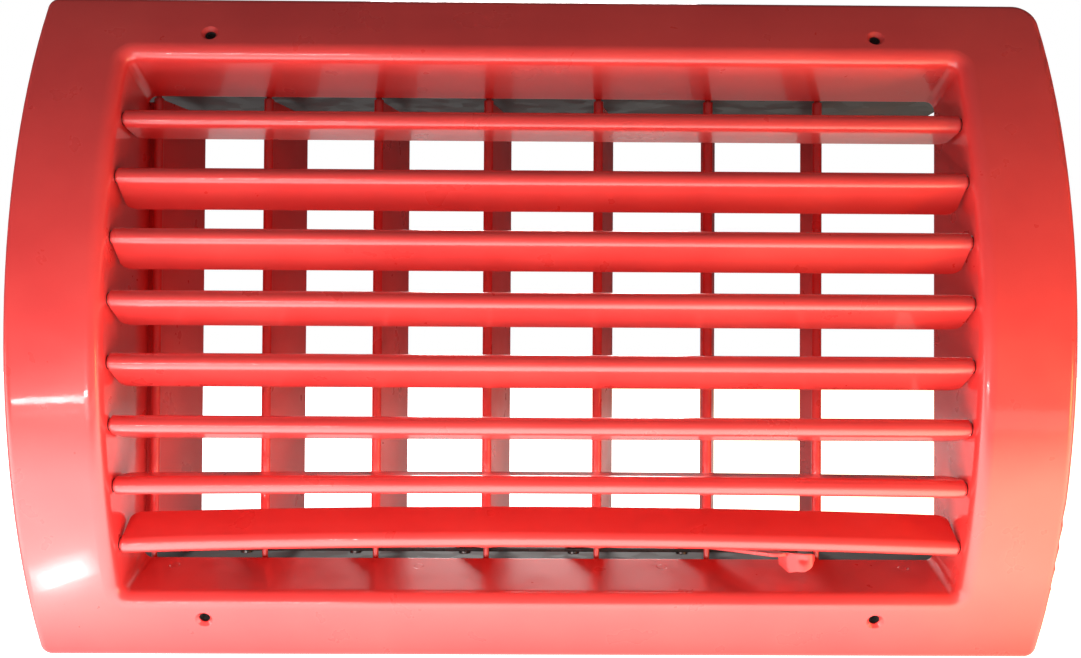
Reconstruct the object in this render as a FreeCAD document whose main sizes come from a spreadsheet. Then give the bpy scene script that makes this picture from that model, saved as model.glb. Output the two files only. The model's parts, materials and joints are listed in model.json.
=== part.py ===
"""Curved supply-air grille for a round spiral duct, with a shutter damper behind it.

Frame: X runs along the duct, Y points into the duct, Z points up. The origin is on
the crest of the duct's outer surface, in the middle of the grille. The duct axis
runs parallel to X at Y = duct_radius. All sizes are millimetres and degrees.
"""
import FreeCAD, Part
import math
import os
import re
import Sketcher

X_AXIS = FreeCAD.Vector(1, 0, 0)
Y_AXIS = FreeCAD.Vector(0, 1, 0)
Z_AXIS = FreeCAD.Vector(0, 0, 1)
ON_PLANE = 0.01
OVERRUN = 30

FRONT_BLADES = 8
DAMPER_BLADES = 7
DRIVEN_BLADE = 6
CORNER_STEP = 15
BLADE_TILTS = [18, 48, 49, 37.5, 37.5, 22, -10.5, -45]

DIMENSIONS = [
    ("duct_radius", 201, "outer radius of the duct that the grille sits on"),
    ("gasket_thickness", 5, "foam between flange and duct"),
    ("sheet_thickness", 1.5, "steel sheet of the front frame"),
    ("face_radius", "=duct_radius + gasket_thickness + sheet_thickness", "outer face"),
    ("face_width", 338, "front frame along the duct"),
    ("face_height", 223, "front frame across the duct, chord"),
    ("face_corner", 4, "corner radius of the front frame"),
    ("face_corner_large", 8, "corner radius at the upper right"),
    ("edge_bend", 3, "outer radius of the folded edge"),
    ("mouth_bend", 4.5, "outer radius of the bend into the opening"),
    ("mouth_corner", 3.2, "corner radius inside the opening"),
    ("opening_width", 277, "opening between the side walls"),
    ("lip_half_height", 80.8, "half opening at the rear of the lips"),
    ("lip_slope", 18.8, "slope of the upper and lower lips"),
    ("neck_depth", 38.5, "rear edge of the lips and side walls"),
    ("screw_spacing", 223.2, "screw holes along the duct"),
    ("screw_angle", 28.1, "screw holes, angle up and down from the crest"),
    ("screw_radius", 1.8, "screw hole"),
    ("dimple_radius", 2.9, "countersink of a screw hole"),
    ("dimple_depth", 1.1, "countersink of a screw hole"),
    ("blade_pitch", 20, "front blades, centre to centre"),
    ("blade_shift", -2.2, "middle of the row of front blades"),
    ("blade_pivot_radius", 199, "pivots of the front blades, from the duct axis"),
    ("blade_length", 275, "front blade"),
    ("blade_nose", 3.0, "radius of a front blade's nose"),
    ("blade_chord", 12.4, "pivot to rear edge"),
    ("blade_edge", 1.2, "thickness of a front blade's rear edge"),
    ("corner_along", 3.5, "rounded rear corner of a front blade, along the blade"),
    ("corner_deep", 3, "rounded rear corner of a front blade, across the blade"),
    ("pin_shank_radius", 1.3, "blade pin inside the nose"),
    ("pin_radius", 1.5, "blade pin inside the bush"),
    ("pin_collar_radius", 2.1, "blade pin between blade and wall"),
    ("running_gap", 0.05, "radial clearance of every pivot"),
    ("bush_radius", 2.2, "bush body"),
    ("bush_flange_radius", 2.9, "bush flange"),
    ("bush_flange", 1.2, "thickness of a bush flange"),
    ("plate_half_height", 83, "inner faces of the damper plates"),
    ("plate_thickness", 1, "damper plates"),
    ("plate_length", 297, "damper plates along the duct"),
    ("plate_rear", 83.5, "rear face of the damper plates"),
    ("plate_flange", 7, "folded rear edge of a damper plate"),
    ("plate_lap", 11, "overlap of a damper plate on a lip"),
    ("stop_depth", 45, "front face of the stop behind the first damper blade"),
    ("stop_edge", -137.5, "free edge of the stop"),
    ("stop_lap", 10, "overlap of the stop on the side wall"),
    ("stop_low", -74.5, "lower end of the stop"),
    ("stop_high", 80, "upper end of the stop"),
    ("rivet_radius", 1.6, "rivet shank"),
    ("rivet_head_radius", 3, "rivet head"),
    ("rivet_head", 1, "rivet head thickness"),
    ("rivet_spacing", 84, "rivets along a lip"),
    ("damper_pitch", 38.95, "damper blades, centre to centre"),
    ("damper_first", -135.9, "pivot of the first damper blade"),
    ("damper_pivot_depth", 41.8, "pivots of the damper blades"),
    ("damper_yaw", 12.7, "damper blades, angle from fully open"),
    ("damper_nose", 1.7, "radius of a damper blade's rolled nose"),
    ("damper_chord", 32.3, "pivot to the bend of the lapping edge"),
    ("damper_lap", 9.7, "lapping edge, bend to rear edge"),
    ("damper_lap_angle", 31, "lapping edge, from the plate's direction"),
    ("damper_plate", 1, "thickness of a damper blade"),
    ("damper_top", 80.6, "upper end of the damper blades"),
    ("damper_bottom", -76, "lower end of the damper blades"),
    ("shaft_radius", 1, "damper shaft"),
    ("shaft_end", 85.6, "ends of the damper shafts"),
    ("shaft_head_radius", 1.8, "peened end of a damper shaft"),
    ("shaft_head", 0.8, "peened end of a damper shaft"),
    ("crank_thickness", 1.2, "crank plates and lever strip"),
    ("crank_reach", 10, "pivot to crank pin"),
    ("crank_half_width", 3.2, "crank plates and lever strip"),
    ("crank_angle", 142, "crank, angle from +X at rest"),
    ("tie_gap", 1.2, "cranks to tie bar"),
    ("tie_half_width", 2.9, "tie bar"),
    ("tie_thickness", 1.2, "tie bar"),
    ("crank_pin_radius", 1.2, "crank pin"),
    ("crank_pin_clearance", 0.15, "open pivots of the tie bar, radial"),
    ("crank_pin_head", 0.8, "crank pin head"),
    ("crank_pin_head_radius", 2.1, "crank pin head"),
    ("lever_reach", 27, "pivot to the fold of the tab"),
    ("lever_tip", 13, "pivot to the pointed end of the lever"),
    ("tab_width", 9, "front face of the tab"),
    ("tab_wing", 6, "side face of the tab"),
    ("tab_wing_angle", 10, "side face of the tab, from the strip's direction"),
    ("tab_drop", 6, "height of the tab below the strip"),
    ("gasket_outer_margin", 4.5, "frame edge to gasket"),
    ("gasket_width", 11, "gasket strip on the curved sides"),
    ("gasket_width_ends", 13, "gasket strip on the straight sides"),
    ("gasket_hole", 2.2, "hole for a screw in the gasket"),
]

doc = FreeCAD.newDocument("RoundDuctGrille")
dims = doc.addObject("Spreadsheet::Sheet", "Dimensions")
aliases = set()


def add_dimension(alias, value, note):
    row = len(aliases) + 1
    dims.set(f"A{row}", note)
    dims.set(f"B{row}", str(value))
    dims.setAlias(f"B{row}", alias)
    aliases.add(alias)


def to_cells(expression):
    """The expression with each dimension's name written as a cell of the sheet."""
    def cell(match):
        word = match.group()
        return f"Dimensions.{word}" if word in aliases else word
    return re.sub(r"[a-z_]\w*", cell, str(expression))


def size(alias):
    return float(dims.get(alias))


def bind(thing, **expressions):
    """Bind properties of an object; __ in a name stands for a dot."""
    for name, expression in expressions.items():
        thing.setExpression(name.replace("__", "."), to_cells(expression))


def place(thing, x="0", y="0", z="0", axis=None, angle="0"):
    """Put an object at expressions x, y, z, turned about an axis."""
    if axis is not None:
        thing.Placement = FreeCAD.Placement(FreeCAD.Vector(), FreeCAD.Rotation(axis, 1))
        bind(thing, Placement__Rotation__Angle=angle)
    bind(thing, Placement__Base__x=x, Placement__Base__y=y, Placement__Base__z=z)
    return thing


def make(kind, label):
    thing = doc.addObject(kind, label)
    thing.Label = label
    return thing


def box(label, length, width, height):
    """A box; its lengths along X, Y and Z are expressions."""
    block = make("Part::Box", label)
    bind(block, Length=length, Width=width, Height=height)
    return block


def cylinder(label, radius, height):
    rod = make("Part::Cylinder", label)
    bind(rod, Radius=radius, Height=height)
    return rod


def cylinder_x(label, radius, length, x, y="0", z="0"):
    """A cylinder along X that starts at x."""
    return place(cylinder(label, radius, length), x, y, z, Y_AXIS, "90")


def cut(label, base, tool):
    result = make("Part::Cut", label)
    result.Base = base
    result.Tool = tool
    return result


def common(label, one, other):
    result = make("Part::Common", label)
    result.Base = one
    result.Tool = other
    return result


def fuse(label, shapes):
    result = make("Part::MultiFuse", label)
    result.Shapes = shapes
    return result


def group(label, pieces):
    """Separate, identical solids that share one name."""
    result = make("Part::Compound", label)
    result.Links = pieces
    return result


def edges_where(thing, test):
    """Numbers of the edges whose middle point passes the test."""
    doc.recompute()
    chosen = []
    for number, edge in enumerate(thing.Shape.Edges, start=1):
        middle = edge.valueAt((edge.FirstParameter + edge.LastParameter) / 2)
        if test(middle, edge):
            chosen.append(number)
    return chosen


def fillet(label, base, radius, test):
    numbers = edges_where(base, test)
    result = make("Part::Fillet", label)
    result.Base = base
    result.Edges = [(number, radius, radius) for number in numbers]
    return result


def from_duct_axis(point):
    return math.hypot(point.y - size("duct_radius"), point.z)


# ---------------------------------------------------------------- sketches

def body(label):
    piece = doc.addObject("PartDesign::Body", label)
    piece.Label = label
    return piece


def sketch_on(piece, plane, name):
    """An empty sketch on one of the body's own origin planes."""
    drawing = piece.newObject("Sketcher::SketchObject", f"{piece.Label}_{name}")
    origin_plane = [f for f in piece.Origin.OriginFeatures if f.Role == plane][0]
    drawing.AttachmentSupport = [(origin_plane, "")]
    drawing.MapMode = "FlatFace"
    return drawing


def hold(drawing, kind, geometry, point, expression):
    """Hold one coordinate of a point at an expression of the sheet."""
    value = float(drawing.evalExpression(to_cells(expression)))
    if abs(value) < 1e-9:
        axis = -2 if kind == "DistanceX" else -1
        drawing.addConstraint(Sketcher.Constraint("PointOnObject", geometry, point, axis))
        return
    number = drawing.addConstraint(Sketcher.Constraint(kind, -1, 1, geometry, point, value))
    drawing.setExpression(f"Constraints[{number}]", to_cells(expression))


def polygon(piece, plane, name, corners):
    """A closed outline whose corners are pairs of expressions."""
    drawing = sketch_on(piece, plane, name)
    points = []
    for across, up in corners:
        x = float(drawing.evalExpression(to_cells(across)))
        y = float(drawing.evalExpression(to_cells(up)))
        points.append(FreeCAD.Vector(x, y, 0))
    count = len(points)
    for index in range(count):
        line = Part.LineSegment(points[index], points[(index + 1) % count])
        drawing.addGeometry(line, False)
    for index in range(count):
        following = (index + 1) % count
        drawing.addConstraint(Sketcher.Constraint("Coincident", index, 2, following, 1))
        hold(drawing, "DistanceX", index, 1, corners[index][0])
        hold(drawing, "DistanceY", index, 1, corners[index][1])
    return drawing


def circles(piece, plane, name, centres, radius):
    """Circles of one radius; the centres are pairs of expressions."""
    drawing = sketch_on(piece, plane, name)
    for index, (across, up) in enumerate(centres):
        x = float(drawing.evalExpression(to_cells(across)))
        y = float(drawing.evalExpression(to_cells(up)))
        start_radius = float(drawing.evalExpression(to_cells(radius)))
        centre = FreeCAD.Vector(x, y, 0)
        drawing.addGeometry(Part.Circle(centre, FreeCAD.Vector(0, 0, 1), start_radius), False)
        hold(drawing, "DistanceX", index, 3, across)
        hold(drawing, "DistanceY", index, 3, up)
        number = drawing.addConstraint(Sketcher.Constraint("Radius", index, start_radius))
        drawing.setExpression(f"Constraints[{number}]", to_cells(radius))
    return drawing


def pad(piece, drawing, length, midplane=False, reversed_=False):
    feature = piece.newObject("PartDesign::Pad", f"{drawing.Name}_pad")
    feature.Profile = drawing
    feature.Midplane = midplane
    feature.Reversed = reversed_
    bind(feature, Length=length)
    drawing.Visibility = False
    doc.recompute()
    return feature


def pocket_through(piece, drawing):
    """Cut a sketch through the whole body, both ways."""
    feature = piece.newObject("PartDesign::Pocket", f"{drawing.Name}_pocket")
    feature.Profile = drawing
    feature.Type = "ThroughAll"
    feature.Midplane = True
    before = piece.Shape.Volume
    doc.recompute()
    if piece.Shape.Volume >= before - 1e-6:
        raise RuntimeError(f"{feature.Name} cuts nothing")
    return feature


# ------------------------------------------------------------- front frame

def frame_block(label, inset, depth):
    """A block behind the curved face, inset from the frame's outline."""
    slab = box(f"{label}_slab", f"face_width - 2 * {inset}", f"{OVERRUN} + {depth}",
               f"face_height - 2 * {inset}")
    place(slab, f"{inset} - face_width / 2", f"-{OVERRUN}", f"{inset} - face_height / 2")
    offset = size(inset) if inset in aliases else 0

    def small_corner(point, edge):
        return along_y(edge) and not (point.x > 0 and point.z > 0)

    def large_corner(point, edge):
        return along_y(edge) and point.x > 0 and point.z > 0

    rounded = fillet(f"{label}_small_corners", slab, size("face_corner") - offset, small_corner)
    rounded = fillet(f"{label}_large_corner", rounded,
                     size("face_corner_large") - offset, square_corner(large_corner))
    curve = cylinder_x(f"{label}_curve", f"face_radius - {inset}", "face_width + 20",
                       "-face_width / 2 - 10", "duct_radius")
    curved = common(f"{label}_curved", rounded, curve)
    radius = size("face_radius") - offset

    def on_face(point, edge):
        return abs(from_duct_axis(point) - radius) < ON_PLANE

    return fillet(f"{label}_edges", curved, size("edge_bend") - offset, on_face)


def along_y(edge):
    if len(edge.Vertexes) < 2:
        return False
    step = edge.Vertexes[1].Point - edge.Vertexes[0].Point
    return abs(step.x) < ON_PLANE and abs(step.z) < ON_PLANE


def square_corner(test):
    """The test, for edges that are still at a corner of the slab."""
    half_width = size("face_width") / 2
    half_height = size("face_height") / 2
    slack = size("sheet_thickness") + ON_PLANE

    def both(point, edge):
        outer = abs(point.x) > half_width - slack and abs(point.z) > half_height - slack
        return outer and test(point, edge)

    return both


def tunnel(label, growth):
    """The way through the frame; growth is the sheet that surrounds it."""
    wedge = make("Part::Wedge", label)
    rise = f"{growth} / cos(lip_slope)"
    front = f"lip_half_height + {rise} + (neck_depth + {OVERRUN}) * tan(lip_slope)"
    rear = f"lip_half_height + {rise} - {OVERRUN} * tan(lip_slope)"
    half_width = f"opening_width / 2 + {growth}"
    bind(wedge, Ymin=f"-{OVERRUN}", Ymax=f"neck_depth + {OVERRUN}",
         Xmin=f"-({half_width})", Xmax=half_width, X2min=f"-({half_width})", X2max=half_width,
         Zmin=f"-({front})", Zmax=front, Z2min=f"-({rear})", Z2max=rear)
    thickness = size(growth) if growth in aliases else 0

    def lengthwise(point, edge):
        step = edge.Vertexes[1].Point - edge.Vertexes[0].Point
        return abs(step.y) > OVERRUN

    return fillet(f"{label}_corners", wedge, size("mouth_corner") + thickness, lengthwise)


def mouth_form(label, block, passage, radius, bend):
    """The block with the passage cut through it and a rounded mouth."""
    opened = cut(f"{label}_opened", block, passage)
    half_opening = size("opening_width") / 2 + size("sheet_thickness") + ON_PLANE

    def at_mouth(point, edge):
        return abs(from_duct_axis(point) - radius) < ON_PLANE and abs(point.x) < half_opening \
            and abs(point.z) < size("face_height") / 2 - size("edge_bend") - 3

    return fillet(f"{label}_mouth", opened, bend, at_mouth)


def radial_tool(tool, x, angle, start):
    """Turn a tool's axis so that it points out of the duct at an angle up."""
    return place(tool, x, f"duct_radius - ({start}) * cos({angle})", f"({start}) * sin({angle})",
                 X_AXIS, f"90 - ({angle})")


def screw_places():
    """Name, position along the duct and angle up of each screw hole."""
    for side, x_sign in (("left", -1), ("right", 1)):
        for level, z_sign in (("low", -1), ("high", 1)):
            yield f"screw_{side}_{level}", f"{x_sign} * screw_spacing / 2", f"{z_sign} * screw_angle"


def screw_hole_tools():
    tools = []
    for mark, x, angle in screw_places():
        drill = cylinder(f"{mark}_drill", "screw_radius", "sheet_thickness + 4")
        tools.append(radial_tool(drill, x, angle, "face_radius - sheet_thickness - 2"))
        sink = make("Part::Cone", f"{mark}_sink")
        bind(sink, Radius1="screw_radius", Radius2="2 * dimple_radius - screw_radius",
             Height="2 * dimple_depth")
        tools.append(radial_tool(sink, x, angle, "face_radius - dimple_depth"))
    return tools


def bush_seat_tools():
    tools = []
    for number in range(1, FRONT_BLADES + 1):
        tools.append(cylinder_x(f"bush_seat_{number}", "bush_radius", "opening_width + 12",
                                "-opening_width / 2 - 6", f"blade_depth_{number}",
                                f"blade_height_{number}"))
    return tools


def lip_point(sign, distance):
    """Y and Z, as expressions, of a point on a lip, at a distance from its rear edge."""
    y = f"neck_depth - ({distance}) * cos(lip_slope)"
    z = f"{sign} * (lip_half_height + ({distance}) * sin(lip_slope))"
    return y, z


def rivet_places():
    for sign in (-1, 1):
        for step in (-1.5, -0.5, 0.5, 1.5):
            yield sign, step


def lip_rod(label, radius, height, sign, step, start="0"):
    """A cylinder square to a lip, from its inner face outwards."""
    rod = cylinder(label, radius, height)
    distance = "plate_lap / 2"
    y, z = lip_point(sign, distance)
    outward_y = f"({start}) * sin(lip_slope)"
    outward_z = f"{sign} * ({start}) * cos(lip_slope)"
    angle = "-lip_slope" if sign > 0 else "180 + lip_slope"
    return place(rod, f"{step} * rivet_spacing", f"{y} + {outward_y}", f"{z} + {outward_z}",
                 X_AXIS, angle)


def rivet_hole_tools():
    tools = []
    for number, (sign, step) in enumerate(rivet_places(), start=1):
        tools.append(lip_rod(f"lip_hole_{number}", "rivet_radius", "6", sign, step, "-2"))
    return tools


def front_frame():
    outer_block = frame_block("outer", "0", "neck_depth")
    inner_block = frame_block("inner", "sheet_thickness", "(neck_depth + 1)")
    passage = tunnel("passage", "0")
    passage_outside = tunnel("passage_outside", "sheet_thickness")
    outside = mouth_form("outside", outer_block, passage, size("face_radius"), size("mouth_bend"))
    inside = mouth_form("inside", inner_block, passage_outside,
                        size("face_radius") - size("sheet_thickness"),
                        size("mouth_bend") - size("sheet_thickness"))
    shell = cut("frame_shell", outside, inside)
    duct = cylinder_x("duct_space", "duct_radius", "face_width + 20", "-face_width / 2 - 10",
                      "duct_radius")
    beyond_seat = cut("beyond_seat", duct, tunnel("passage_keep", "sheet_thickness"))
    seated = cut("frame_seated", shell, beyond_seat)
    holes = fuse("frame_holes", screw_hole_tools() + bush_seat_tools() + rivet_hole_tools())
    return cut("front_frame", seated, holes)


def gasket_ring(label, margin, side, end):
    """A block that is in from the frame's outline by a margin and a strip's width."""
    block = box(label, f"face_width - 2 * ({margin} + {side})", "60",
                f"face_height - 2 * ({margin} + {end})")
    return place(block, f"-face_width / 2 + {margin} + {side}", "-20",
                 f"-face_height / 2 + {margin} + {end}")


def flange_gasket():
    outer = gasket_ring("gasket_outer", "gasket_outer_margin", "0", "0")
    inner = gasket_ring("gasket_inner", "gasket_outer_margin", "gasket_width", "gasket_width_ends")
    holes = []
    for mark, x, angle in screw_places():
        drill = cylinder(f"{mark}_gasket_hole", "gasket_hole", "gasket_thickness + 8")
        holes.append(radial_tool(drill, x, angle, "duct_radius - 4"))
    ring = cut("gasket_frame", outer, fuse("gasket_cuts", [inner] + holes))
    over = cylinder_x("gasket_over", "duct_radius + gasket_thickness", "face_width",
                      "-face_width / 2", "duct_radius")
    under = cylinder_x("gasket_under", "duct_radius", "face_width + 10", "-face_width / 2 - 5",
                       "duct_radius")
    return common("flange_gasket", ring, cut("gasket_layer", over, under))


# ------------------------------------------------------------ front blades

def blade_bush(label, side, number):
    """Flanged bush in a side wall, flush with its inner face."""
    length = "sheet_thickness + bush_flange"
    start = "opening_width / 2" if side > 0 else f"-opening_width / 2 - ({length})"
    flange_start = "opening_width / 2 + sheet_thickness"
    if side < 0:
        flange_start = f"-({flange_start}) - bush_flange"
    at = (f"blade_depth_{number}", f"blade_height_{number}")
    barrel = cylinder_x(f"{label}_barrel", "bush_radius", length, start, *at)
    flange = cylinder_x(f"{label}_flange", "bush_flange_radius", "bush_flange", flange_start, *at)
    bore = cylinder_x(f"{label}_bore", "pin_radius + running_gap", f"{length} + 4",
                      f"{start} - 2", *at)
    return cut(label, fuse(f"{label}_solid", [barrel, flange]), bore)


def blade_bushes(side):
    word = "left" if side < 0 else "right"
    rows = range(1, FRONT_BLADES + 1)
    return group(f"blade_bushes_{word}",
                 [blade_bush(f"bush_{word}_{number}", side, number) for number in rows])


def front_blade(number):
    """Round nose running straight back to a thin edge; the pivot is the nose's centre."""
    blade = body(f"front_blade_{number}")
    nose = circles(blade, "YZ_Plane", "nose", [("0", "0")], "blade_nose")
    pad(blade, nose, "blade_length", midplane=True)
    touch_y, touch_z = "blade_nose * cos(blade_flank)", "blade_nose * sin(blade_flank)"
    outline = [(touch_y, touch_z), ("blade_chord", "blade_edge / 2"),
               ("blade_chord", "-blade_edge / 2"), (touch_y, f"-({touch_z})")]
    pad(blade, polygon(blade, "YZ_Plane", "flanks", outline), "blade_length", midplane=True)
    for name, sign in (("left", "-1"), ("right", "1")):
        pocket_through(blade, polygon(blade, "XY_Plane", f"corner_{name}", rounded_corner(sign)))
    bore = circles(blade, "YZ_Plane", "bore", [("0", "0")], "pin_shank_radius")
    pocket_through(blade, bore)
    return place(blade, "0", f"blade_depth_{number}", f"blade_height_{number}", X_AXIS,
                 f"-blade_tilt_{number}")


def rounded_corner(sign):
    """What is cut from a rear corner of a front blade."""
    half = "blade_length / 2"
    cut_away = [(f"{sign} * ({half} + 2)", "blade_chord + 2"),
                (f"{sign} * ({half} + 2)", "blade_chord - corner_deep")]
    for angle in range(0, 91, CORNER_STEP):
        across = f"blade_chord - corner_deep * (1 - sin({angle}))"
        cut_away.append((f"{sign} * ({half} - corner_along * (1 - cos({angle})))", across))
    cut_away.append((f"{sign} * ({half} - corner_along)", "blade_chord + 2"))
    return cut_away


def blade_pin(label, side, number):
    """Shank pressed into the nose, collar in the gap, pin in the wall's bush."""
    at = (f"blade_depth_{number}", f"blade_height_{number}")
    gap = "(opening_width - blade_length) / 2"
    stages = [("shank", "pin_shank_radius", "blade_length / 2 - 12", "12"),
              ("collar", "pin_collar_radius", "blade_length / 2", f"{gap} - 0.2"),
              ("journal", "pin_radius", f"blade_length / 2 + {gap} - 0.2",
               "sheet_thickness + bush_flange + 0.6")]
    rods = []
    for word, radius, start, length in stages:
        x = start if side > 0 else f"-({start}) - ({length})"
        rods.append(cylinder_x(f"{label}_{word}", radius, length, x, *at))
    return fuse(label, rods)


def blade_pins(number):
    return group(f"blade_pins_{number}",
                 [blade_pin(f"pin_left_{number}", -1, number),
                  blade_pin(f"pin_right_{number}", 1, number)])


# ------------------------------------------------------------------ damper

def damper_x(number):
    return f"(damper_first + {number - 1} * damper_pitch)"


def damper_plate(word, sign):
    """Flat plate with its front edge bent along the lip and its rear edge folded."""
    plate = body(f"{word}_plate_blank")
    inner, outer = "plate_half_height", "(plate_half_height + plate_thickness)"
    gap = "(sheet_thickness / cos(lip_slope))"
    lap_y = "(neck_depth - plate_lap * cos(lip_slope))"
    lap_z = f"(lip_half_height + {gap} + plate_lap * sin(lip_slope))"
    knee = f"(neck_depth - (plate_half_height - lip_half_height - {gap}) / tan(lip_slope))"
    skin = "(plate_thickness / cos(lip_slope))"
    knee_out = f"({knee} + plate_thickness * tan(lip_slope / 2))"
    outline = [(lap_y, lap_z), (knee, inner), ("plate_rear", inner),
               ("plate_rear", f"{outer} + plate_flange"),
               ("plate_rear - plate_thickness", f"{outer} + plate_flange"),
               ("plate_rear - plate_thickness", outer), (knee_out, outer),
               (lap_y, f"{lap_z} + {skin}")]
    signed = [(y, f"{sign} * ({z})") for y, z in outline]
    pad(plate, polygon(plate, "YZ_Plane", "profile", signed), "plate_length", midplane=True)
    seats = [(damper_x(n), "damper_pivot_depth") for n in range(1, DAMPER_BLADES + 1)]
    pocket_through(plate, circles(plate, "XY_Plane", "seats", seats, "bush_radius"))
    holes = []
    for number, (side, step) in enumerate(rivet_places(), start=1):
        if side == sign:
            holes.append(lip_rod(f"{word}_plate_hole_{number}", "rivet_radius", "8", side, step, "-2"))
    return cut(f"damper_{word}_plate", plate, fuse(f"{word}_plate_holes", holes))


def plate_rivet(number, sign, step):
    """Shank flush with the lip's inner face, head outside the damper plate."""
    grip = "sheet_thickness + plate_thickness"
    shank = lip_rod(f"rivet_{number}_shank", "rivet_radius", grip, sign, step)
    head = lip_rod(f"rivet_{number}_head", "rivet_head_radius", "rivet_head", sign, step, grip)
    return fuse(f"rivet_{number}", [shank, head])


def plate_rivets():
    places = enumerate(rivet_places(), start=1)
    return group("plate_rivets", [plate_rivet(number, sign, step) for number, (sign, step) in places])


def upright(label, radius, low, high, x, y):
    """A cylinder along Z between two heights."""
    return place(cylinder(label, radius, f"({high}) - ({low})"), x, y, low)


def damper_bush(label, sign, number):
    """Flange on the inner face of a damper plate, barrel through it."""
    x, y = damper_x(number), "damper_pivot_depth"
    face, inside = "plate_half_height", "(plate_half_height - bush_flange)"
    outside = "(plate_half_height + plate_thickness + 0.8)"
    spans = {"flange": ("bush_flange_radius", inside, face), "barrel": ("bush_radius", inside, outside),
             "bore": ("shaft_radius + running_gap", f"{inside} - 1", f"{outside} + 1")}
    parts = {}
    for word, (radius, near, far) in spans.items():
        low, high = (near, far) if sign > 0 else (f"-({far})", f"-({near})")
        parts[word] = upright(f"{label}_{word}", radius, low, high, x, y)
    return cut(label, fuse(f"{label}_solid", [parts["flange"], parts["barrel"]]), parts["bore"])


def damper_bushes(word, sign):
    numbers = range(1, DAMPER_BLADES + 1)
    return group(f"damper_bushes_{word}",
                 [damper_bush(f"damper_bush_{word}_{n}", sign, n) for n in numbers])


def damper_stop():
    """Angle on the left side wall that closes the gap beside the first damper blade."""
    stop = body("damper_stop")
    outside = "(opening_width / 2 + sheet_thickness)"
    front, thick = "(neck_depth - stop_lap)", "plate_thickness"
    outline = [(f"-{outside} - {thick}", front), (f"-{outside}", front), (f"-{outside}", "stop_depth"),
               ("stop_edge", "stop_depth"), ("stop_edge", f"stop_depth + {thick}"),
               (f"-{outside} - {thick}", f"stop_depth + {thick}")]
    pad(stop, polygon(stop, "XY_Plane", "profile", outline), "stop_high - stop_low")
    return place(stop, z="stop_low")


def damper_blade(number):
    """Rolled nose round the shaft, flat plate behind it, rear edge bent to lap the next blade."""
    blade = body(f"damper_blade_{number}")
    height = "damper_top - damper_bottom"
    pad(blade, circles(blade, "XY_Plane", "nose", [("0", "0")], "damper_nose"), height)
    half = "damper_plate / 2"
    miter = f"{half} * tan(damper_lap_angle / 2)"
    rear_x, rear_y = "(damper_lap * sin(damper_lap_angle))", "(damper_lap * cos(damper_lap_angle))"
    skin_x, skin_y = f"{half} * cos(damper_lap_angle)", f"{half} * sin(damper_lap_angle)"
    outline = [(f"-{half}", "damper_nose * 0.5"), (f"-{half}", f"damper_chord - {miter}"),
               (f"-{rear_x} - {skin_x}", f"damper_chord + {rear_y} - {skin_y}"),
               (f"-{rear_x} + {skin_x}", f"damper_chord + {rear_y} + {skin_y}"),
               (half, f"damper_chord + {miter}"), (half, "damper_nose * 0.5")]
    pad(blade, polygon(blade, "XY_Plane", "plate", outline), height)
    pocket_through(blade, circles(blade, "XY_Plane", "bore", [("0", "0")], "shaft_radius"))
    return place(blade, damper_x(number), "damper_pivot_depth", "damper_bottom", Z_AXIS, "-damper_yaw")


def damper_shaft(number):
    x, y = damper_x(number), "damper_pivot_depth"
    label = f"damper_shaft_{number}"
    rod = upright(f"{label}_rod", "shaft_radius", "-shaft_end", "shaft_end", x, y)
    upper = upright(f"{label}_upper_head", "shaft_head_radius", "shaft_end - shaft_head",
                    "shaft_end", x, y)
    lower = upright(f"{label}_lower_head", "shaft_head_radius", "-shaft_end",
                    "-shaft_end + shaft_head", x, y)
    return fuse(label, [rod, upper, lower])


def crank_pin_place(number):
    x = f"({damper_x(number)} + crank_reach * cos(crank_angle))"
    return x, "(damper_pivot_depth + crank_reach * sin(crank_angle))"


def damper_crank(number):
    """Short plate under a damper blade, with the shaft at one end and a pin at the other."""
    label = f"damper_crank_{number}"
    plate = body(label)
    width = "crank_half_width"
    outline = [("0", f"-{width}"), ("crank_reach", f"-{width}"), ("crank_reach", width), ("0", width)]
    pad(plate, polygon(plate, "XY_Plane", "bar", outline), "crank_thickness")
    ends = circles(plate, "XY_Plane", "pivot_end", [("0", "0")], width)
    pad(plate, ends, "crank_thickness")
    pad(plate, circles(plate, "XY_Plane", "pin_end", [("crank_reach", "0")], width), "crank_thickness")
    pocket_through(plate, circles(plate, "XY_Plane", "shaft_hole", [("0", "0")], "shaft_radius"))
    pin_hole = circles(plate, "XY_Plane", "pin_hole", [("crank_reach", "0")], "crank_pin_radius")
    pocket_through(plate, pin_hole)
    return place(plate, damper_x(number), "damper_pivot_depth", "damper_bottom - crank_thickness",
                 Z_AXIS, "crank_angle")


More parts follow.
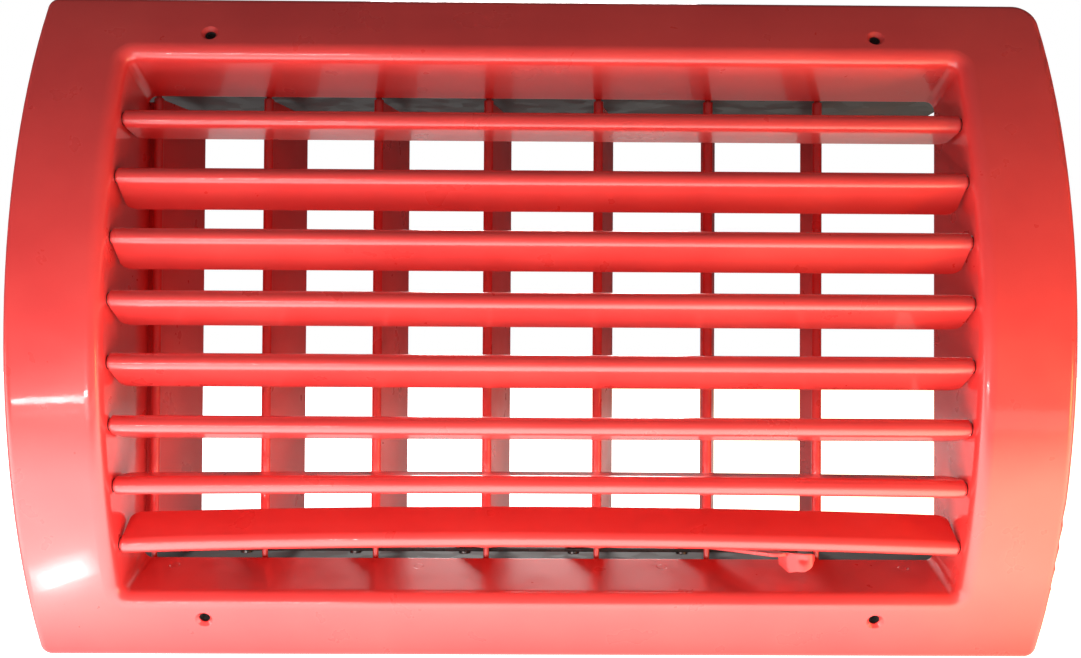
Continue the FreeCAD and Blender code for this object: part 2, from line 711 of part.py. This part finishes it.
def damper_lever():
    """Strip that is the driven blade's crank; its front end folds down into a tab."""
    lever = body("damper_lever")
    width, thick = "crank_half_width", "crank_thickness"
    turn = "(180 - crank_angle)"
    fold_x = "(-lever_reach)"
    corner_x = f"({fold_x} - tab_wing * cos(tab_wing_angle))"
    corner_y = "(tab_wing * sin(tab_wing_angle))"
    end_x = f"({corner_x} - tab_width * cos({turn}))"
    end_y = f"({corner_y} - tab_width * sin({turn}))"
    strip = [("lever_tip", "0"), ("crank_reach", width), (fold_x, f"{width} * 0.8"),
             (corner_x, corner_y), (end_x, end_y),
             (f"{end_x} + 3 * sin({turn})", f"{end_y} - 3 * cos({turn})"),
             (fold_x, f"-{width} * 0.8"), ("crank_reach", f"-{width}")]
    pad(lever, polygon(lever, "XY_Plane", "strip", strip), thick)
    tab = [(fold_x, "0"), (corner_x, corner_y), (end_x, end_y),
           (f"{end_x} + {thick} * sin({turn})", f"{end_y} - {thick} * cos({turn})"),
           (f"{corner_x} + {thick}", f"{corner_y} - {thick} * 1.25"), (fold_x, f"-{thick} * 1.1")]
    pad(lever, polygon(lever, "XY_Plane", "tab", tab), "tab_drop", reversed_=True)
    slant = [(f"{fold_x} + 1", f"-{thick}"), (fold_x, f"-{thick}"), (corner_x, "-tab_drop"),
             (corner_x, "-tab_drop - 1"), (f"{fold_x} + 1", "-tab_drop - 1")]
    pocket_through(lever, polygon(lever, "XZ_Plane", "slant", slant))
    pocket_through(lever, circles(lever, "XY_Plane", "shaft_hole", [("0", "0")], "shaft_radius"))
    pin_hole = circles(lever, "XY_Plane", "pin_hole", [("crank_reach", "0")], "crank_pin_radius")
    pocket_through(lever, pin_hole)
    return place(lever, damper_x(DRIVEN_BLADE), "damper_pivot_depth",
                 "damper_bottom - crank_thickness", Z_AXIS, "crank_angle")


def crank_pin(number):
    """Riveted into the crank, with a shoulder above the tie bar and a head below it."""
    label = f"crank_pin_{number}"
    x, y = crank_pin_place(number)
    crank_low = "(damper_bottom - crank_thickness)"
    bar_high = f"({crank_low} - tie_gap)"
    bar_low = f"({bar_high} - tie_thickness)"
    shank = upright(f"{label}_shank", "crank_pin_radius", f"{bar_low} - 0.2 - crank_pin_head",
                    "damper_bottom", x, y)
    shoulder = upright(f"{label}_shoulder", "crank_pin_head_radius", f"{bar_high} + 0.2", crank_low, x, y)
    head = upright(f"{label}_head", "crank_pin_head_radius", f"{bar_low} - 0.2 - crank_pin_head",
                   f"{bar_low} - 0.2", x, y)
    return fuse(label, [shank, shoulder, head])


def tie_bar():
    """Bar with a hole for each crank pin; the driven blade's pin carries it."""
    bar = body("tie_bar")
    first, last = "0", f"{DAMPER_BLADES - 1} * damper_pitch"
    width = "tie_half_width"
    outline = [(first, f"-{width}"), (last, f"-{width}"), (last, width), (first, width)]
    pad(bar, polygon(bar, "XY_Plane", "bar", outline), "tie_thickness")
    pad(bar, circles(bar, "XY_Plane", "first_end", [(first, "0")], width), "tie_thickness")
    pad(bar, circles(bar, "XY_Plane", "last_end", [(last, "0")], width), "tie_thickness")
    others = [n for n in range(1, DAMPER_BLADES + 1) if n != DRIVEN_BLADE]
    loose = [(f"{n - 1} * damper_pitch", "0") for n in others]
    pocket_through(bar, circles(bar, "XY_Plane", "loose_holes", loose,
                                "crank_pin_radius + crank_pin_clearance"))
    driven = [(f"{DRIVEN_BLADE - 1} * damper_pitch", "0")]
    pocket_through(bar, circles(bar, "XY_Plane", "driven_hole", driven,
                                "crank_pin_radius + running_gap"))
    x, y = crank_pin_place(1)
    return place(bar, x, y, "damper_bottom - crank_thickness - tie_gap - tie_thickness")


# ---------------------------------------------------------------- assembly

def fill_sheet():
    for alias, value, note in DIMENSIONS:
        add_dimension(alias, value, note)
    add_dimension("blade_flank", "=atan(blade_edge / 2 / blade_chord)"
                  " + acos(blade_nose / sqrt(blade_chord^2 + blade_edge^2 / 4))",
                  "angle round the nose where a flank touches it")
    middle = (FRONT_BLADES - 1) / 2
    for number, tilt in enumerate(BLADE_TILTS, start=1):
        height = f"blade_height_{number}"
        add_dimension(f"blade_tilt_{number}", tilt, "rear edge down, at rest")
        add_dimension(height, f"=({middle - number + 1}) * blade_pitch + blade_shift",
                      "pivot height of a front blade")
        add_dimension(f"blade_depth_{number}",
                      f"=duct_radius - sqrt(blade_pivot_radius^2 - {height}^2)",
                      "pivot depth of a front blade")
    doc.recompute()


def build_all():
    blades = range(1, FRONT_BLADES + 1)
    shutters = range(1, DAMPER_BLADES + 1)
    pieces = [front_frame(), flange_gasket(), blade_bushes(-1), blade_bushes(1)]
    pieces += [front_blade(number) for number in blades]
    pieces += [blade_pins(number) for number in blades]
    pieces += [damper_plate("top", 1), damper_plate("bottom", -1), plate_rivets(), damper_stop()]
    pieces += [damper_bushes("top", 1), damper_bushes("bottom", -1)]
    pieces += [damper_blade(number) for number in shutters]
    pieces += [damper_shaft(number) for number in shutters]
    pieces += [damper_crank(number) for number in shutters if number != DRIVEN_BLADE]
    pieces += [damper_lever()]
    pieces += [crank_pin(number) for number in shutters]
    pieces += [tie_bar()]
    return pieces


def check(pieces):
    """Stop if anything in the document failed, before any file is written."""
    doc.recompute()
    for thing in doc.Objects:
        if "Invalid" in thing.State or "Error" in thing.State:
            raise RuntimeError(f"{thing.Label} failed: {thing.State}")
    for piece in pieces:
        if piece.Shape.isNull() or not piece.Shape.isValid() or not piece.Shape.Solids:
            raise RuntimeError(f"{piece.Label} has no valid shape")


def write(pieces):
    os.makedirs("parts", exist_ok=True)
    for piece in pieces:
        piece.Shape.exportStep(f"parts/{piece.Label}.step")
        print(piece.Label, len(piece.Shape.Solids), round(piece.Shape.Volume, 1))


fill_sheet()
parts = build_all()
check(parts)
write(parts)
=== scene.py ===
"""Curved supply-air grille for a round duct: looks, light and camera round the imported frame."""
import json
import math

import bmesh
import bpy
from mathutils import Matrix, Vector


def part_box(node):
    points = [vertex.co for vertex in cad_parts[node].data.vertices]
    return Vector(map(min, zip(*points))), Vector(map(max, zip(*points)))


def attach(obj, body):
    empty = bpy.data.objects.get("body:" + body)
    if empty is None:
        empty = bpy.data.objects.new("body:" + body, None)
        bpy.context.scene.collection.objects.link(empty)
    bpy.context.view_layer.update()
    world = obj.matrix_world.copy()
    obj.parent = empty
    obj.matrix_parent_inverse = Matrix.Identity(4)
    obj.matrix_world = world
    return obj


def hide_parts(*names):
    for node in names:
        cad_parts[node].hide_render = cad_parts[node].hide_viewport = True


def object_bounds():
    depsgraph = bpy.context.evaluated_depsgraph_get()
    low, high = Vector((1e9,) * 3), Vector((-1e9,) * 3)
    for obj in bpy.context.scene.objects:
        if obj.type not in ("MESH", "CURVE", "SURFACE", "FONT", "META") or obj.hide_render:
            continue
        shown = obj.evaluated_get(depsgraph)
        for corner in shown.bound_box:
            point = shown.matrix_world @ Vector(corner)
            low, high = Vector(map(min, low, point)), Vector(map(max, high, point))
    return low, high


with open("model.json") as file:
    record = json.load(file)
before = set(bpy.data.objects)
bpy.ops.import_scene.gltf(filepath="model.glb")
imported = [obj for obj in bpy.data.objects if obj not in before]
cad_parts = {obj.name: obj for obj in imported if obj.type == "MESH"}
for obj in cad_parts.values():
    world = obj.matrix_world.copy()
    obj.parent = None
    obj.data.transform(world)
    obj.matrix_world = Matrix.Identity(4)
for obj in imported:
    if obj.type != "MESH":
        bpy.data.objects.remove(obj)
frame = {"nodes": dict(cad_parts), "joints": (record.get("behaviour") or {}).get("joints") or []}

# Lengths are in metres, and powers in watts, unless a comment says otherwise.
CAD_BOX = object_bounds()
MM = 0.001

# ------------------------------------------------------------------ stage

FLOOR_DROP = 1.0 * MM
FLOOR_HALF = 4.0
# The floor glows weakly far in front, strongly just before the object and hardly at all behind it.
FLOOR_GLOW_FAR = 0.27
FLOOR_GLOW_NEAR = 4.2
FLOOR_GLOW_BACK = 0.04
FLOOR_GLOW_RISES = (-0.20, -0.09)
FLOOR_GLOW_FALLS = (-0.01, 0.04)
# The glow's colour turns warmer towards the right, and so does the light it throws on the object.
FLOOR_GLOW_WARMS = (-0.12, 0.19)
FLOOR_GLOW_TINTS = [(0.0, (1.0, 0.97, 0.97)), (0.75, (1.0, 0.92, 0.84)), (1.0, (1.0, 0.84, 0.56))]
FLOOR_SEEN = 2.0
# How bright the surroundings are for light from in front and from behind, and where one becomes the other.
WORLD_FRONT = 0.21
WORLD_BACK = 0.05
WORLD_TURNS = (-0.7, 0.3)
WORLD_SEEN = 1.0
CAMERA_PLACE = (-4.0 * MM, -365.9 * MM, -6.7 * MM)
CAMERA_TURN = (90.90, -0.32, -0.53)
CAMERA_LENS = 38.3
SENSOR_WIDTH = 36.0
CAMERA_CLIP = 0.01
# Name, place, aim, width and height, power and colour of each lamp.
LAMPS = [
    ("strip_low_front", (0.03, -0.22, -0.105), (0.02, 0, -0.03), (0.50, 0.03), 0.065, (1.0, 0.96, 0.92)),
    ("lamp_low_right", (0.36, -0.20, -0.09), (0.15, 0, -0.04), (0.06, 0.10), 0.42, (1.0, 0.50, 0.12)),
    ("lamp_low_left", (-0.265, -0.265, -0.10), (-0.15, 0, -0.02), (0.04, 0.004), 0.03, (1.0, 0.97, 0.97)),
    ("lamp_noses_left", (-0.178, -0.30, -0.098), (-0.10, 0, -0.01), (0.14, 0.004), 0.18, (1.0, 0.97, 0.97)),
    ("softbox_back", (0.0, 1.30, 0.75), (0, 0.05, 0), (0.5, 0.3), 9, (1.0, 0.98, 0.95)),
]
# The glare on the lower left corner comes from lamps in layers, so that it fades out at its edge.
CORNER_PLACE = (-0.168, -0.008, -0.110)
CORNER_AIM = (-0.150, 0.02, -0.076)
CORNER_COLOUR = (1.0, 0.96, 0.97)
CORNER_GAP = 0.0002
CORNER_LAYERS = [
    (0.024, 0.017, 0.0040),
    (0.020, 0.013, 0.0034),
    (0.016, 0.009, 0.0026),
    (0.011, 0.005, 0.0016),
]


def make_camera():
    data = bpy.data.cameras.new("camera")
    data.lens = CAMERA_LENS
    data.sensor_width = SENSOR_WIDTH
    data.clip_start = CAMERA_CLIP
    camera = bpy.data.objects.new("camera", data)
    camera.location = CAMERA_PLACE
    camera.rotation_euler = [math.radians(angle) for angle in CAMERA_TURN]
    bpy.context.scene.collection.objects.link(camera)
    bpy.context.scene.camera = camera


def area_light(name, place, target, size, power, colour):
    """A soft light that isn't itself seen."""
    data = bpy.data.lights.new(name, "AREA")
    data.shape = "RECTANGLE"
    data.size, data.size_y = size
    data.energy = power
    data.color = colour
    light = bpy.data.objects.new(name, data)
    light.location = place
    light.rotation_euler = (Vector(target) - Vector(place)).to_track_quat("-Z", "Y").to_euler()
    light.visible_camera = False
    bpy.context.scene.collection.objects.link(light)


def make_lamps():
    for lamp in LAMPS:
        area_light(*lamp)
    x, y, z = CORNER_PLACE
    for layer, (wide, high, power) in enumerate(CORNER_LAYERS):
        place = (x, y + layer * CORNER_GAP, z)
        area_light(f"lamp_corner_{layer}", place, CORNER_AIM, (wide, high), power, CORNER_COLOUR)


def seen_or_lighting(nodes, links, seen, lighting):
    """Strength that is one value where the camera looks and another as a source of light."""
    ray = nodes.new("ShaderNodeLightPath")
    choice = nodes.new("ShaderNodeMix")
    choice.data_type = "FLOAT"
    links.new(ray.outputs["Is Camera Ray"], choice.inputs["Factor"])
    choice.inputs["B"].default_value = seen
    links.new(lighting, choice.inputs["A"])
    return choice.outputs["Result"]


def make_floor():
    low = CAD_BOX[0].z - FLOOR_DROP
    corners = [(-1, -1), (1, -1), (1, 1), (-1, 1)]
    mesh = bpy.data.meshes.new("floor")
    mesh.from_pydata([(x * FLOOR_HALF, y * FLOOR_HALF, low) for x, y in corners], [], [(0, 1, 2, 3)])
    floor = bpy.data.objects.new("floor", mesh)
    bpy.context.scene.collection.objects.link(floor)
    surface = Surface("floor_paper", (0.92, 0.92, 0.92), 0.9)
    place = surface.add("ShaderNodeNewGeometry").outputs["Position"]
    across, depth = surface.add("ShaderNodeSeparateXYZ", Vector=place).outputs[:2]
    near = surface.between(depth, FLOOR_GLOW_FAR, FLOOR_GLOW_NEAR, *FLOOR_GLOW_RISES)
    front = surface.between(depth, 1.0, FLOOR_GLOW_BACK, *FLOOR_GLOW_FALLS)
    glow = surface.add("ShaderNodeMath", Value=near)
    glow.operation = "MULTIPLY"
    surface.links.new(front, glow.inputs[1])
    side = surface.between(across, 0.0, 1.0, *FLOOR_GLOW_WARMS)
    surface.feed("Emission Color", surface.colours(side, *FLOOR_GLOW_TINTS))
    strength = seen_or_lighting(surface.nodes, surface.links, FLOOR_SEEN, glow.outputs["Value"])
    surface.links.new(strength, surface.shader.inputs["Emission Strength"])
    mesh.materials.append(surface.material)


def make_world():
    world = bpy.data.worlds.new("studio")
    world.use_nodes = True
    nodes, links = world.node_tree.nodes, world.node_tree.links
    background = nodes["Background"]
    background.inputs["Color"].default_value = (1, 1, 1, 1)
    aim = nodes.new("ShaderNodeSeparateXYZ")
    links.new(nodes.new("ShaderNodeTexCoord").outputs["Generated"], aim.inputs[0])
    light = nodes.new("ShaderNodeMapRange")
    links.new(aim.outputs["Y"], light.inputs["Value"])
    limits = (*WORLD_TURNS, WORLD_FRONT, WORLD_BACK)
    for name, value in zip(("From Min", "From Max", "To Min", "To Max"), limits):
        light.inputs[name].default_value = value
    strength = seen_or_lighting(nodes, links, WORLD_SEEN, light.outputs["Result"])
    links.new(strength, background.inputs["Strength"])
    bpy.context.scene.world = world
    bpy.context.scene.view_settings.view_transform = "Standard"


# -------------------------------------------------------------- materials

EDGE_SAMPLES = 4


class Surface:
    """A Principled material and the nodes that feed it."""

    def __init__(self, name, colour, roughness, metallic=0.0):
        self.material = bpy.data.materials.new(name)
        self.material.use_nodes = True
        self.nodes = self.material.node_tree.nodes
        self.links = self.material.node_tree.links
        self.shader = self.nodes["Principled BSDF"]
        self.shader.inputs["Base Color"].default_value = (*colour, 1)
        self.shader.inputs["Roughness"].default_value = roughness
        self.shader.inputs["Metallic"].default_value = metallic
        self.place = self.nodes.new("ShaderNodeTexCoord").outputs["Object"]

    def add(self, kind, **feeds):
        """A node with some inputs set to numbers or fed from other nodes."""
        node = self.nodes.new(kind)
        for name, feed in feeds.items():
            socket = node.inputs[name.replace("_", " ")]
            if isinstance(feed, bpy.types.NodeSocket):
                self.links.new(feed, socket)
            else:
                socket.default_value = feed
        return node

    def feed(self, name, socket):
        self.links.new(socket, self.shader.inputs[name])

    def stretched(self, along):
        """Place on the piece, squeezed by a factor along each axis."""
        return self.add("ShaderNodeMapping", Vector=self.place, Scale=along).outputs["Vector"]

    def cloud(self, scale, detail=2.0, along=None):
        place = self.place if along is None else self.stretched(along)
        return self.add("ShaderNodeTexNoise", Vector=place, Scale=scale, Detail=detail).outputs["Fac"]

    def cells(self, scale, output="Distance"):
        return self.add("ShaderNodeTexVoronoi", Vector=self.place, Scale=scale).outputs[output]

    def between(self, value, low, high, start=0.3, end=0.7):
        """A value that goes from low to high while another goes from start to end."""
        node = self.nodes.new("ShaderNodeMapRange")
        self.links.new(value, node.inputs["Value"])
        node.inputs["From Min"].default_value = start
        node.inputs["From Max"].default_value = end
        node.inputs["To Min"].default_value = low
        node.inputs["To Max"].default_value = high
        return node.outputs["Result"]

    def colours(self, value, *stops):
        """Colours at positions along a value."""
        node = self.nodes.new("ShaderNodeValToRGB")
        elements = node.color_ramp.elements
        while len(elements) < len(stops):
            elements.new(0.5)
        for element, (position, colour) in zip(elements, stops):
            element.position = position
            element.color = (*colour, 1)
        self.links.new(value, node.inputs["Fac"])
        return node.outputs["Color"]

    def relief(self, height, strength, depth, under=None):
        """A normal with a relief of some depth on top of another normal."""
        node = self.add("ShaderNodeBump", Height=height, Strength=strength, Distance=depth)
        if under is not None:
            self.links.new(under, node.inputs["Normal"])
        return node.outputs["Normal"]

    def soft_edges(self, radius):
        """The normal with sharp edges rounded to the eye."""
        node = self.add("ShaderNodeBevel", Radius=radius)
        node.samples = EDGE_SAMPLES
        return node.outputs["Normal"]


def paint(name, gloss, peel, grain=None):
    """Red stove paint: orange peel, slightly uneven film, and a clear surface on top."""
    surface = Surface(name, (0.80, 0.045, 0.04), 0.3)
    film = surface.cloud(26, 3.0)
    reds = [(0.3, (0.74, 0.044, 0.042)), (0.5, (0.80, 0.052, 0.048)), (0.72, (0.84, 0.062, 0.055))]
    surface.feed("Base Color", surface.colours(film, *reds))
    surface.feed("Roughness", surface.between(surface.cloud(70, 4.0), 0.26, 0.38))
    surface.shader.inputs["Coat Weight"].default_value = gloss
    surface.shader.inputs["Coat Roughness"].default_value = 0.07
    shape = surface.soft_edges(0.4 * MM)
    shape = surface.relief(surface.cloud(13, 1.0), 0.25, 2.0 * MM, shape)
    if grain is not None:
        shape = surface.relief(surface.cloud(1, 3.0, grain), 0.12, 0.05 * MM, shape)
    shape = surface.relief(surface.cloud(900, 1.0), peel, 0.12 * MM, shape)
    surface.feed("Normal", shape)
    surface.links.new(shape, surface.shader.inputs["Coat Normal"])
    return surface.material


def dark_zinc(name):
    """Galvanised sheet gone dark: spangle, fine scratches and dull patches."""
    surface = Surface(name, (0.07, 0.06, 0.06), 0.45, 0.6)
    spangle = surface.cells(160, "Color")
    tone = surface.add("ShaderNodeSeparateColor", Color=spangle).outputs["Red"]
    shades = [(0.0, (0.022, 0.018, 0.018)), (0.6, (0.042, 0.034, 0.034)), (1.0, (0.085, 0.07, 0.07))]
    surface.feed("Base Color", surface.colours(tone, *shades))
    surface.feed("Roughness", surface.between(tone, 0.50, 0.72, 0.0, 1.0))
    scratches = surface.cloud(1, 4.0, (30, 700, 700))
    surface.feed("Normal", surface.relief(scratches, 0.15, 0.05 * MM, surface.soft_edges(0.2 * MM)))
    return surface.material


def steel(name):
    """Drawn wire and turned ends with a thin bright plating."""
    surface = Surface(name, (0.30, 0.29, 0.28), 0.40, 1.0)
    film = surface.cloud(400, 3.0)
    surface.feed("Base Color", surface.colours(film, (0.3, (0.20, 0.18, 0.17)), (0.7, (0.36, 0.35, 0.34))))
    surface.feed("Roughness", surface.between(surface.cloud(900, 2.0), 0.22, 0.45))
    drawn = surface.cloud(1, 2.0, (2500, 2500, 60))
    surface.feed("Normal", surface.relief(drawn, 0.2, 0.03 * MM, surface.soft_edges(0.15 * MM)))
    return surface.material


def nylon(name):
    """Moulded black nylon."""
    surface = Surface(name, (0.03, 0.03, 0.03), 0.5)
    shades = [(0.3, (0.022, 0.022, 0.023)), (0.7, (0.040, 0.039, 0.038))]
    surface.feed("Base Color", surface.colours(surface.cloud(300, 2.0), *shades))
    surface.feed("Roughness", surface.between(surface.cloud(1500, 2.0), 0.4, 0.6))
    skin = surface.cloud(2500, 1.0)
    surface.feed("Normal", surface.relief(skin, 0.2, 0.03 * MM, surface.soft_edges(0.2 * MM)))
    return surface.material


def foam(name):
    """Closed-cell rubber foam with cut, open-looking pores, their hollows darkened by painted shade."""
    surface = Surface(name, (0.03, 0.03, 0.032), 0.95)
    pores = surface.cells(1100)
    # The colour is darkest at each pore's middle, where the relief sinks deepest: painted shade in the pores'
    # hollows.
    shades = [(0.0, (0.012, 0.012, 0.013)), (0.45, (0.035, 0.035, 0.037)), (0.9, (0.055, 0.055, 0.058))]
    surface.feed("Base Color", surface.colours(pores, *shades))
    surface.shader.inputs["Sheen Weight"].default_value = 0.25
    coarse = surface.relief(surface.cloud(260, 3.0), 0.4, 0.4 * MM)
    surface.feed("Normal", surface.relief(pores, 0.7, 0.3 * MM, coarse))
    return surface.material


def finish_of(name):
    """Which finish a CAD node has."""
    if name.startswith(("front_blade", "blade_pins")):
        return "blade_paint"
    if name.startswith(("damper_blade", "damper_shaft", "damper_crank", "damper_lever", "damper_stop")):
        return "damper_paint"
    if name in ("damper_top_plate", "damper_bottom_plate", "tie_bar"):
        return "dark_zinc"
    if "bush" in name:
        return "nylon"
    if name == "flange_gasket":
        return "foam"
    if name in ("front_frame", "plate_rivets"):
        return "frame_paint"
    return "steel"


# ------------------------------------------------------------------ pieces

# The lengths named here are in mm, and angles in degrees.
# The rise of each bowed blade's middle, and the number of steps along its length.
BOWED_BLADES = {7: 0.8, 8: 2.4}
BOW_STEPS = 24
SAME_POINT = 0.001
BLADE_SMOOTH_UNDER = 30
# The lever's strip along its own line, before it is turned about the shutter's shaft.
LEVER_SHEET = 1.2
LEVER_STRIP = [(-13.0, 0.0), (-12.2, 1.6), (-10.0, 3.2), (27.0, 2.6), (30.2, 1.4), (29.0, -1.3), (27.0, -2.6),
               (-10.0, -3.2), (-12.2, -1.6)]
LEVER_TURN = -38
LEVER_SMOOTH_UNDER = 40
LEVER_EDGE = 0.2
LEVER_EDGE_OVER = 50
# The folded tab: x and y from the shaft, and how far below the strip's top its upper and lower edges are.
TAB_COLUMNS = [
    (22.5, -14.8, 0.0, 4.3),
    (25.1, -17.8, -0.3, 7.1),
    (27.5, -19.8, -0.4, 6.2),
    (30.0, -20.8, -0.4, 6.2),
    (32.5, -20.3, -0.3, 4.8),
    (33.7, -19.2, 0.4, 2.2),
]
TAB_FINE = 4
TAB_ROWS = 12
TAB_ROUNDING = 3
EVERY_AXIS = {"use_axis_x": True, "use_axis_y": True, "use_axis_z": True}
DIMPLE_PLACE = (29.6, 1.9)
DIMPLE_REACH = 0.9
DIMPLE_DEPTH = 0.8


def finished(name, shape, smooth_under):
    """A mesh object from a bmesh, smooth except at its sharp edges."""
    bmesh.ops.recalc_face_normals(shape, faces=shape.faces[:])
    mesh = bpy.data.meshes.new(name)
    shape.to_mesh(mesh)
    shape.free()
    mesh.shade_smooth()
    mesh.set_sharp_from_angle(angle=math.radians(smooth_under))
    piece = bpy.data.objects.new(name, mesh)
    bpy.context.scene.collection.objects.link(piece)
    return piece


def bowed_blade(number, rise):
    """A front blade sprung upwards between its two pins."""
    node = f"front_blade_{number}"
    shape = bmesh.new()
    shape.from_mesh(frame["nodes"][node].data)
    bmesh.ops.remove_doubles(shape, verts=shape.verts[:], dist=SAME_POINT * MM)
    left, right = (corner.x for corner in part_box(node))
    for step in range(1, BOW_STEPS):
        everything = shape.verts[:] + shape.edges[:] + shape.faces[:]
        place = Vector((left + (right - left) * step / BOW_STEPS, 0, 0))
        bmesh.ops.bisect_plane(shape, geom=everything, dist=SAME_POINT * MM, plane_co=place,
                               plane_no=(1, 0, 0))
    middle, half = (left + right) / 2, (right - left) / 2
    for vertex in shape.verts:
        vertex.co.z += rise * MM * (1 - ((vertex.co.x - middle) / half) ** 2)
    blade = finished(f"bowed_blade_{number}", shape, BLADE_SMOOTH_UNDER)
    blade.data.materials.append(FINISHES["blade_paint"])
    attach(blade, f"blade_{number}")
    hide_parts(node)


def between_columns(place):
    """Where the lever's tab is at a place along its columns."""
    first = min(int(place), len(TAB_COLUMNS) - 2)
    share = place - first
    return [a + (b - a) * share for a, b in zip(TAB_COLUMNS[first], TAB_COLUMNS[first + 1])]


def thicken(shape, faces, axis, depth, **options):
    """Give a sheet its thickness by drawing its faces out along an axis."""
    drawn = bmesh.ops.extrude_face_region(shape, geom=faces, **options)["geom"]
    for vertex in (thing for thing in drawn if isinstance(thing, bmesh.types.BMVert)):
        vertex.co[axis] += depth


def lever_strip(shape, pivot, top):
    """The flat strip, from the shaft out to the tab."""
    turn = math.radians(LEVER_TURN)
    outline = []
    for along, across in LEVER_STRIP:
        x = along * math.cos(turn) - across * math.sin(turn)
        y = along * math.sin(turn) + across * math.cos(turn)
        outline.append(shape.verts.new((pivot[0] + x * MM, pivot[1] + y * MM, top)))
    thicken(shape, [shape.faces.new(outline)], 2, -LEVER_SHEET * MM)


def lever_tab(shape, pivot, top):
    """The strip's front end, folded down into a curled tab with a dimple."""
    grid = []
    for column in range((len(TAB_COLUMNS) - 1) * TAB_FINE + 1):
        x, y, high, low = between_columns(column / TAB_FINE)
        heights = [high + (low - high) * row / TAB_ROWS for row in range(TAB_ROWS + 1)]
        foot = (pivot[0] + x * MM, pivot[1] + y * MM)
        grid.append([shape.verts.new((*foot, top - height * MM)) for height in heights])
    tab = [shape.faces.new((a, b, d, c)) for one, two in zip(grid, grid[1:])
           for a, b, c, d in zip(one, one[1:], two, two[1:])]
    inner = [vertex for column in grid[1:-1] for vertex in column]
    for _ in range(TAB_ROUNDING):
        bmesh.ops.smooth_vert(shape, verts=inner, factor=0.5, **EVERY_AXIS)
    for vertex in inner:
        aside = (vertex.co.x - pivot[0]) / MM - DIMPLE_PLACE[0]
        below = (top - vertex.co.z) / MM - DIMPLE_PLACE[1]
        vertex.co.y += DIMPLE_DEPTH * MM * math.exp(-(math.hypot(aside, below) / DIMPLE_REACH) ** 2)
    thicken(shape, tab, 1, LEVER_SHEET * MM, use_keep_orig=True)


def lever():
    """The damper's lever: strip and tab of one sheet, with its edges broken."""
    pivot = next(joint["pos_m"] for joint in frame["joints"] if joint["name"] == "damper_lever_swing")
    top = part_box("damper_lever")[1].z
    shape = bmesh.new()
    lever_strip(shape, pivot, top)
    lever_tab(shape, pivot, top)
    piece = finished("lever_strip_and_tab", shape, LEVER_SMOOTH_UNDER)
    edges = piece.modifiers.new("edges", "BEVEL")
    edges.width = LEVER_EDGE * MM
    edges.segments = 2
    edges.limit_method = "ANGLE"
    edges.angle_limit = math.radians(LEVER_EDGE_OVER)
    piece.data.materials.append(FINISHES["damper_paint"])
    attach(piece, "shutter_6")
    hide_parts("damper_lever")


# ---------------------------------------------------------------- assembly

make_camera()
make_world()
make_floor()
make_lamps()

FINISHES = {
    "frame_paint": paint("frame_paint", 0.7, 0.10),
    "blade_paint": paint("blade_paint", 0.8, 0.05, (6, 900, 900)),
    "damper_paint": paint("damper_paint", 0.35, 0.16),
    "dark_zinc": dark_zinc("dark_zinc"),
    "steel": steel("plated_steel"),
    "nylon": nylon("black_nylon"),
    "foam": foam("black_foam"),
}
for name, node in frame["nodes"].items():
    node.data.materials.clear()
    node.data.materials.append(FINISHES[finish_of(name)])

for number, rise in BOWED_BLADES.items():
    bowed_blade(number, rise)
lever()
